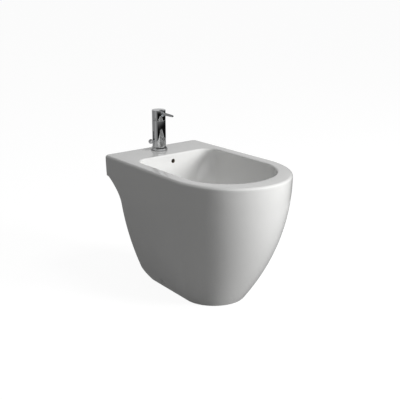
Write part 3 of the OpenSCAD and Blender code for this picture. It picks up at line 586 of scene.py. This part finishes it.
def tap_cap():
    """Cap of the handle, with the lever's slot, the pin's bore and the screw's bore."""
    t = Tap
    low, high = t.barrel_edge, t.cap_edge
    profile = [(0, t.cap_z)] + arc(t.barrel_r - low, t.cap_z + low, low, -90, 0)
    profile += arc(t.barrel_r - high, t.cap_top - high, high, 0, 90, 7) + [(0, t.cap_top)]
    obj = solid("tap_cap", profile, t.at())
    cut(
        obj,
        lambda bm: bar(bm, t.cavity_r, t.cap_z - 1, t.notch_z - 2, t.at()),
        lambda bm: bar(bm, t.spindle_r, t.notch_z - 3, t.hub_z + 5, t.at()),
        lambda bm: t.box(
            bm,
            (-t.notch_half, -t.barrel_r - 1, t.notch_z),
            (t.notch_half, t.hub_y + t.hub_r + 1, t.cap_top + 1),
        ),
        lambda bm: bar(bm, t.pin_r, -2 * t.notch_half, t.barrel_r, t.at(0, t.hub_y, t.hub_z, ALONG_X), 32),
        lambda bm: bar(bm, t.grub_r, -t.barrel_r - 1, 0, t.at(0, 0, t.hub_z - 2, TO_FRONT), 32),
    )
    return obj


def tap_base():
    """Flared ring at the deck: an upright foot below a cone."""
    t = Tap
    edge, foot_z = t.ring_edge, t.ring_foot_z
    profile = [(t.ring_bore, t.gasket_t)] + arc(t.ring_r - edge, t.gasket_t + edge, edge, -90, 0)
    profile.append((t.ring_r, foot_z))
    rise, top_r = t.ring_h - foot_z, t.barrel_r + t.ring_lip
    for i in range(1, 15):
        up = i / 14
        profile.append((top_r + (t.ring_r - top_r) * (1 - up) ** t.flare, foot_z + rise * up))
    profile += [(t.ring_bore, t.ring_h), (t.ring_bore, t.gasket_t)]
    return solid("tap_base", profile, t.at())


def tap_lever():
    """Lever: hub on its pin, thin neck and tapering grip with a rounded tip."""
    t = Tap
    edge = t.hub_edge
    half = t.notch_half - edge
    hub = [(0, -half)] + arc(t.hub_r - edge, -half + edge, edge, -90, 0)
    hub += arc(t.hub_r - edge, half - edge, edge, 0, 90) + [(0, half)]
    obj = solid("tap_lever", hub, t.at(0, t.hub_y, t.hub_z, ALONG_X), 64)
    grip = [(0, t.neck_from), (t.neck_r, t.neck_from), (t.neck_r, t.neck_end)]
    for i in range(1, 11):
        grip.append((t.neck_r + (t.grip_r - t.neck_r) * ease(i / 10), t.neck_end + t.swell_l * i / 10))
    grip.append((t.grip_r, t.grip_from))
    grip += arc(t.tip_r - t.tip_edge, t.lever_l - t.tip_edge, t.tip_edge, 0, 90, 6) + [(0, t.lever_l)]
    arm = bmesh.new()
    tilt = Matrix.Rotation(math.radians(90 - t.lever_rise), 4, "X")
    turned(arm, grip, t.at(0, t.hub_y, t.hub_z, tilt), 64)
    boolean(obj, arm, "UNION")
    cut(obj, lambda bm: bar(bm, t.pin_r, -9, 9, t.at(0, t.hub_y, t.hub_z, ALONG_X), 32))
    return obj


def lift_ball():
    """Round knob with a short neck, bored for the rod's arm."""
    t = Tap
    end = -t.barrel_r - t.knob_gap - t.knob_x
    mouth = math.degrees(math.acos(t.knob_neck / t.knob_r))
    profile = arc(0, 0, t.knob_r, -90, mouth, 32)
    profile += [(t.knob_neck, end), (t.arm_r, end), (t.arm_r, t.knob_bore), (0, t.knob_bore)]
    return solid("lift_ball", profile, t.at(t.knob_x, 0, t.knob_up, ALONG_X), 96)


def jet_collar():
    """Ring in the tap's front that holds the jet's ball."""
    t = Tap
    socket, edge = t.ball_r + t.run_gap, t.hub_edge
    outside = t.collar_r - t.run_gap
    front, back = t.ball_y - t.collar_front, t.ball_y - t.collar_back
    lip = math.degrees(math.asin(front / socket))
    profile = [(socket, back), (outside, back)] + arc(outside - edge, front - edge, edge, 0, 90)
    profile += arc(0, 0, socket, lip, 0, 12) + [(socket, back)]
    return solid("jet_collar", profile, t.at(0, t.ball_y, t.aerator_up, TO_FRONT), 96)


def jet_ball():
    """Ball that aims the jet, cut flat at both ends and bored through."""
    t = Tap
    front, back = t.ball_r - t.front_flat, t.ball_r - t.back_flat
    first, last = -math.degrees(math.asin(back / t.ball_r)), math.degrees(math.asin(front / t.ball_r))
    bore, seat = t.screen_r - t.screen_lip, front - t.screen_t
    profile = [(bore, -back)] + arc(0, 0, t.ball_r, first, last, 24)
    profile += [(t.screen_r, front), (t.screen_r, seat), (bore, seat), (bore, -back)]
    return solid("jet_ball", profile, t.at(0, t.ball_y, t.aerator_up, TO_FRONT), 96)


class BIDET_OT_tap(bpy.types.Operator):
    """Makes the tap's plated pieces with smooth curves and soft edges"""

    bl_idname = "bidet.make_tap"
    bl_label = "Tap"

    def execute(self, context):
        plate = plated("tap_plate", tuple(context.scene.bidet_metals.chrome))
        for make, body, node in (
            (tap_barrel, "bidet", "tap_body"),
            (tap_cap, "handle", "handle_cap"),
            (tap_base, "bidet", "base_ring"),
            (tap_lever, "lever", "lever"),
            (lift_ball, "lift", "lift_knob"),
            (jet_collar, "bidet", "aerator_collar"),
            (jet_ball, "aerator", "aerator_ball"),
        ):
            obj = make()
            obj.data.materials.append(plate)
            tidy(obj, body, node)
        return {"FINISHED"}


# ---- Materials ----


# The part of a noise's range that its values fill.
NOISE_LOW, NOISE_HIGH = 0.3, 0.7


class Nodes:
    """Short hand for building one material's nodes."""

    def __init__(self, name):
        self.mat = bpy.data.materials.new(name)
        self.mat.use_nodes = True
        self.tree = self.mat.node_tree
        self.shader = self.tree.nodes["Principled BSDF"]
        self.where = self.add("ShaderNodeTexCoord").outputs["Object"]

    def add(self, kind, **inputs):
        """A new node with its inputs set."""
        node = self.tree.nodes.new(kind)
        for key, value in inputs.items():
            self.put(node, key.replace("_", " "), value)
        return node

    def put(self, node, socket, value):
        """Links or sets one input."""
        target = node.inputs[socket]
        if isinstance(value, bpy.types.NodeSocket):
            self.tree.links.new(value, target)
        else:
            target.default_value = value

    def noise(self, scale, detail, stretch=None):
        """Noise of a scale and a detail, stretched along the axes if asked."""
        where = self.where
        if stretch:
            where = self.add("ShaderNodeMapping", Vector=where, Scale=stretch).outputs["Vector"]
        return self.add("ShaderNodeTexNoise", Vector=where, Scale=scale, Detail=detail).outputs["Fac"]

    def spread(self, value, low, high):
        """A noise's value spread from low to high."""
        node = self.add("ShaderNodeMapRange")
        for i, v in enumerate((value, NOISE_LOW, NOISE_HIGH, low, high)):
            self.put(node, i, v)
        return node.outputs["Result"]

    def tint(self, fac, first, second):
        """A colour between two others."""
        node = self.tree.nodes.new("ShaderNodeMix")
        node.data_type = "RGBA"
        self.put(node, 0, fac)
        self.put(node, 6, (*first, 1))
        self.put(node, 7, (*second, 1))
        return node.outputs[2]

    def bump(self, height, distance, strength, normal=None):
        """A bumped normal, on top of another if given."""
        node = self.add("ShaderNodeBump", Height=height, Distance=distance, Strength=strength)
        if normal:
            self.put(node, "Normal", normal)
        return node.outputs["Normal"]

    def set(self, **values):
        """Sets the shader's inputs and returns the material."""
        for key, value in values.items():
            self.put(self.shader, key.replace("_", " "), value)
        return self.mat


def shade(colour, k):
    """A colour made k times as bright."""
    return tuple(min(1.0, c * k) for c in colour)


def glazed_china(name, colour):
    """White glaze: faint clouding, soft waves and a fine orange peel under a clear, glossy coat."""
    n = Nodes(name)
    cloud = n.noise(7, 4)
    wave = n.bump(n.noise(16, 1), 0.0006, 0.5)
    peel = n.bump(n.noise(420, 2), 0.00002, 0.5, wave)
    return n.set(
        Base_Color=n.tint(n.spread(cloud, 0, 1), shade(colour, 0.985), shade(colour, 1.0)),
        Roughness=n.spread(n.noise(30, 3), 0.16, 0.22),
        Coat_Weight=0.6,
        Coat_Roughness=0.05,
        Normal=peel,
    )


def plated(name, colour):
    """Polished chrome with faint smears and dried drops."""
    n = Nodes(name)
    smear = n.noise(60, 4, (1, 1, 0.3))
    return n.set(
        Base_Color=n.tint(n.spread(smear, 0, 1), shade(colour, 0.97), colour),
        Metallic=1.0,
        Roughness=n.spread(smear, 0.03, 0.07),
        Normal=n.bump(n.noise(90, 2), 0.00005, 0.2),
    )


def drawn_metal(name, colour, roughness, stretch):
    """Bare metal with fine lines along one axis."""
    n = Nodes(name)
    lines = n.noise(900, 2, stretch)
    return n.set(
        Base_Color=n.tint(n.spread(n.noise(70, 3), 0, 1), shade(colour, 0.9), shade(colour, 1.06)),
        Metallic=1.0,
        Roughness=n.spread(lines, roughness, roughness + 0.14),
        Normal=n.bump(lines, 0.00004, 0.5),
    )


def moulded(name, colour, roughness, grain):
    """Plastic or rubber with a fine moulded grain."""
    n = Nodes(name)
    pits = n.noise(grain, 3)
    return n.set(
        Base_Color=n.tint(n.spread(n.noise(40, 3), 0, 1), shade(colour, 0.94), colour),
        Roughness=n.spread(pits, roughness, roughness + 0.1),
        Normal=n.bump(pits, 0.00004, 0.5),
    )


class BIDET_OT_finishes(bpy.types.Operator):
    """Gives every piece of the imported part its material"""

    bl_idname = "bidet.give_finishes"
    bl_label = "Finishes"

    def execute(self, context):
        metals = context.scene.bidet_metals
        made = {
            "chrome": plated("chrome_plate", tuple(metals.chrome)),
            "steel": drawn_metal("stainless_steel", tuple(metals.steel), 0.26, (1, 1, 0.06)),
            "brass": drawn_metal("turned_brass", tuple(metals.brass), 0.24, (0.08, 0.08, 1)),
            "rubber": moulded("black_rubber", (0.03, 0.03, 0.03), 0.6, 700),
            "white_plastic": moulded("white_plastic", (0.78, 0.78, 0.77), 0.25, 300),
            "grey_plastic": moulded("grey_plastic", (0.20, 0.21, 0.23), 0.45, 400),
            "china": glazed_china("china_under", (0.8, 0.8, 0.79)),
        }
        slots = {row["node"]: row["material_slot"] for row in frame["record"]["subparts"]}
        for name, obj in frame["nodes"].items():
            for slot in obj.material_slots:
                slot.material = made[slots[name]]
        return {"FINISHED"}


# ---- Stage ----


TAP_FOOT = (0, 0.238, 0)
MIDDLE = (0, -0.05, 0.25)
KEY_PLACE, TOP_PLACE, LAMP_SIZE = (1.44, -2.77, 1.13), (0.55, -1.55, 3.02), 0.9
CAMERA_PLACE, CAMERA_AIM = (-1.5514, -1.9813, 1.0276), (0, 0, 0.2)
LENS, SENSOR, SHIFT_X, SHIFT_Y = 81.0, 36.0, -0.0176, 0.0692
NEAR, FAR = 0.05, 100
FLOOR_SIZE, FLOOR_BOUNCE, FLOOR_GLOW, FLOOR_SHADED = 20, 0.28, 0.93, 0.16
FLAT_CELLS, ARC_CELLS = 24, 36

# Name, centre, radius, first and last bearing, low, high, level, soft ends in degrees, soft top in metres.
ARC_CARDS = (
    ("dark_flag", TAP_FOOT, 0.95, -84, 118, 0.0, 0.7, 0.006, 8.0, 0.35),
    ("back_flag", TAP_FOOT, 1.7, 100, 230, 0.0, 1.7, 0.6, 20.0, 0.5),
    ("upper_flag", TAP_FOOT, 2.2, 40, 320, 0.6, 3.0, 0.1, 20.0, 0.4),
    ("side_flag", (0, 0, 0), 0.8, -178, -72, 0.0, 1.3, 0.26, 8.0, 0.4),
    ("light_strip", TAP_FOOT, 0.7, -104, -84, 0.3, 1.2, 0.42, 5.0, 0.3),
)
# Name, place, aim, width, height, level, soft share.
FLAT_CARDS = (
    ("floor_flag", (0, 0, 0.001), (0, 0, 1), 3.4, 3.4, 0.23, 0.6),
    ("roof_flag", (0, 0, 2.8), (0, 0, 0), 6, 6, 0.1, 0.5),
)


def area_lamp(name, place, size, power):
    """A square lamp of that size that shines from place towards the middle of the bidet."""
    data = bpy.data.lights.new(name, "AREA")
    data.shape = "SQUARE"
    data.size = size
    data.energy = power
    obj = bpy.data.objects.new(name, data)
    obj.location = place
    obj.rotation_euler = (Vector(MIDDLE) - Vector(place)).to_track_quat("-Z", "Y").to_euler()
    bpy.context.scene.collection.objects.link(obj)
    return obj


def card_sheet(cells):
    """A square sheet from -1 to 1 and its layer for the fade: 1 in the middle and 0 along its edges."""
    bm = bmesh.new()
    bmesh.ops.create_grid(bm, x_segments=cells, y_segments=cells, size=1.0)
    return bm, bm.verts.layers.float.new("fade")


def card(name, place, aim, width, height, level, soft):
    """A flat card that faces aim from place, fading out over the share soft of its half sides."""
    bm, fade = card_sheet(FLAT_CELLS)
    for vert in bm.verts:
        vert[fade] = ease((1 - abs(vert.co.x)) / soft) * ease((1 - abs(vert.co.y)) / soft)
    turn = (Vector(aim) - Vector(place)).to_track_quat("Z", "Y").to_matrix().to_4x4()
    spot = Matrix.Translation(place) @ turn @ Matrix.Diagonal((width / 2, height / 2, 1, 1))
    bmesh.ops.transform(bm, matrix=spot, verts=bm.verts)
    as_card(finish_mesh(bm, name), level)


def arc_card(name, centre, radius, start, end, low, high, level, soft_ends, soft_top):
    """An upright card bent round centre from one bearing to another (degrees from -Y towards +X)."""
    bm, fade = card_sheet(ARC_CELLS)
    for vert in bm.verts:
        bearing = start + (end - start) * (vert.co.x + 1) / 2
        z = low + (high - low) * (vert.co.y + 1) / 2
        ends = ease((bearing - start) / soft_ends) * ease((end - bearing) / soft_ends)
        vert[fade] = ends * ease((high - z) / soft_top)
        turn = math.radians(bearing)
        vert.co = (centre[0] + radius * math.sin(turn), centre[1] - radius * math.cos(turn), z)
    as_card(finish_mesh(bm, name), level)


def grey(tree, kind, level):
    """A shader node of one grey level."""
    node = tree.nodes.new(kind)
    node.inputs["Color"].default_value = (level, level, level, 1)
    return node


def mix_out(tree, kind, fac, first, second):
    """Mixes two shader nodes by fac into an output node of that kind."""
    mix = tree.nodes.new("ShaderNodeMixShader")
    out = tree.nodes.new(kind)
    tree.links.new(fac, mix.inputs[0])
    tree.links.new(first.outputs[0], mix.inputs[1])
    tree.links.new(second.outputs[0], mix.inputs[2])
    tree.links.new(mix.outputs[0], out.inputs["Surface"])


def empty_tree(owner):
    """The cleared node tree of a material or world."""
    owner.use_nodes = True
    owner.node_tree.nodes.clear()
    return owner.node_tree


def as_card(obj, level):
    """Makes obj a card of that brightness, which only shows in glossy surfaces."""
    mat = bpy.data.materials.new(obj.name)
    tree = empty_tree(mat)
    fade = tree.nodes.new("ShaderNodeAttribute")
    fade.attribute_name = "fade"
    clear = tree.nodes.new("ShaderNodeBsdfTransparent")
    glow = grey(tree, "ShaderNodeEmission", level)
    mix_out(tree, "ShaderNodeOutputMaterial", fade.outputs["Fac"], clear, glow)
    obj.data.materials.append(mat)
    obj.visible_camera = obj.visible_diffuse = obj.visible_shadow = False


def seen_rays(tree):
    """1 for rays that see the background: camera, glossy and transmission rays."""
    path = tree.nodes.new("ShaderNodeLightPath")
    total = path.outputs["Is Camera Ray"]
    for other in ("Is Glossy Ray", "Is Transmission Ray"):
        add = tree.nodes.new("ShaderNodeMath")
        add.operation = "MAXIMUM"
        tree.links.new(total, add.inputs[0])
        tree.links.new(path.outputs[other], add.inputs[1])
        total = add.outputs[0]
    return total


class BIDET_OT_stage(bpy.types.Operator):
    """Makes the floor, the lamps, the cards, the world and the camera"""

    bl_idname = "bidet.make_stage"
    bl_label = "Stage"

    def execute(self, context):
        scene = context.scene
        values = scene.bidet_stage
        scene.view_settings.view_transform = "Standard"

        scene.world = bpy.data.worlds.new("room")
        tree = empty_tree(scene.world)
        around = grey(tree, "ShaderNodeBackground", values.ambient)
        white = grey(tree, "ShaderNodeBackground", 1)
        mix_out(tree, "ShaderNodeOutputWorld", seen_rays(tree), around, white)

        bm = bmesh.new()
        bmesh.ops.create_grid(bm, x_segments=1, y_segments=1, size=FLOOR_SIZE)
        floor = finish_mesh(bm, "floor")
        floor.data.materials.append(self.floor_material())

        key = area_lamp("key", KEY_PLACE, LAMP_SIZE, values.key)
        top = area_lamp("top", TOP_PLACE, LAMP_SIZE, values.top)
        key.visible_glossy = top.visible_glossy = False
        for row in ARC_CARDS:
            arc_card(*row)
        for row in FLAT_CARDS:
            card(*row)

        data = bpy.data.cameras.new("camera")
        data.lens, data.sensor_width = LENS, SENSOR
        data.shift_x, data.shift_y = SHIFT_X, SHIFT_Y
        data.clip_start, data.clip_end = NEAR, FAR
        camera = bpy.data.objects.new("camera", data)
        camera.location = CAMERA_PLACE
        aim = Vector(CAMERA_AIM) - camera.location
        camera.rotation_euler = aim.to_track_quat("-Z", "Y").to_euler()
        scene.collection.objects.link(camera)
        scene.camera = camera
        return {"FINISHED"}

    def floor_material(self):
        """Pale floor: seen directly it is almost white and keeps part of the object's shadow."""
        mat = bpy.data.materials.new("pale_floor")
        tree = empty_tree(mat)
        plain = grey(tree, "ShaderNodeBsdfDiffuse", FLOOR_BOUNCE)
        seen = tree.nodes.new("ShaderNodeAddShader")
        glow = grey(tree, "ShaderNodeEmission", FLOOR_GLOW)
        shaded = grey(tree, "ShaderNodeBsdfDiffuse", FLOOR_SHADED)
        tree.links.new(glow.outputs[0], seen.inputs[0])
        tree.links.new(shaded.outputs[0], seen.inputs[1])
        mix_out(tree, "ShaderNodeOutputMaterial", seen_rays(tree), plain, seen)
        return mat


class BIDET_PT_panel(bpy.types.Panel):
    """Sizes, colours and steps of the bidet"""

    bl_idname = "BIDET_PT_panel"
    bl_label = "Bidet"
    bl_space_type = "VIEW_3D"
    bl_region_type = "UI"
    bl_category = "Bidet"

    def draw(self, context):
        scene = context.scene
        for values in (scene.bidet_china, scene.bidet_metals, scene.bidet_stage):
            for key in values.__annotations__:
                self.layout.prop(values, key)
        for step in STEPS:
            self.layout.operator(step.bl_idname)


STEPS = (BIDET_OT_china, BIDET_OT_tap, BIDET_OT_finishes, BIDET_OT_stage)
GROUPS = {"bidet_china": BidetChina, "bidet_metals": BidetMetals, "bidet_stage": BidetStage}


def register():
    for cls in (*GROUPS.values(), *STEPS, BIDET_PT_panel):
        bpy.utils.register_class(cls)
    for name, cls in GROUPS.items():
        setattr(bpy.types.Scene, name, bpy.props.PointerProperty(type=cls))


def unregister():
    for name in GROUPS:
        delattr(bpy.types.Scene, name)
    for cls in (BIDET_PT_panel, *STEPS, *GROUPS.values()):
        bpy.utils.unregister_class(cls)


def main():
    register()
    bpy.ops.bidet.make_china()
    bpy.ops.bidet.make_tap()
    bpy.ops.bidet.give_finishes()
    bpy.ops.bidet.make_stage()


if __name__ == "__main__":
    main()
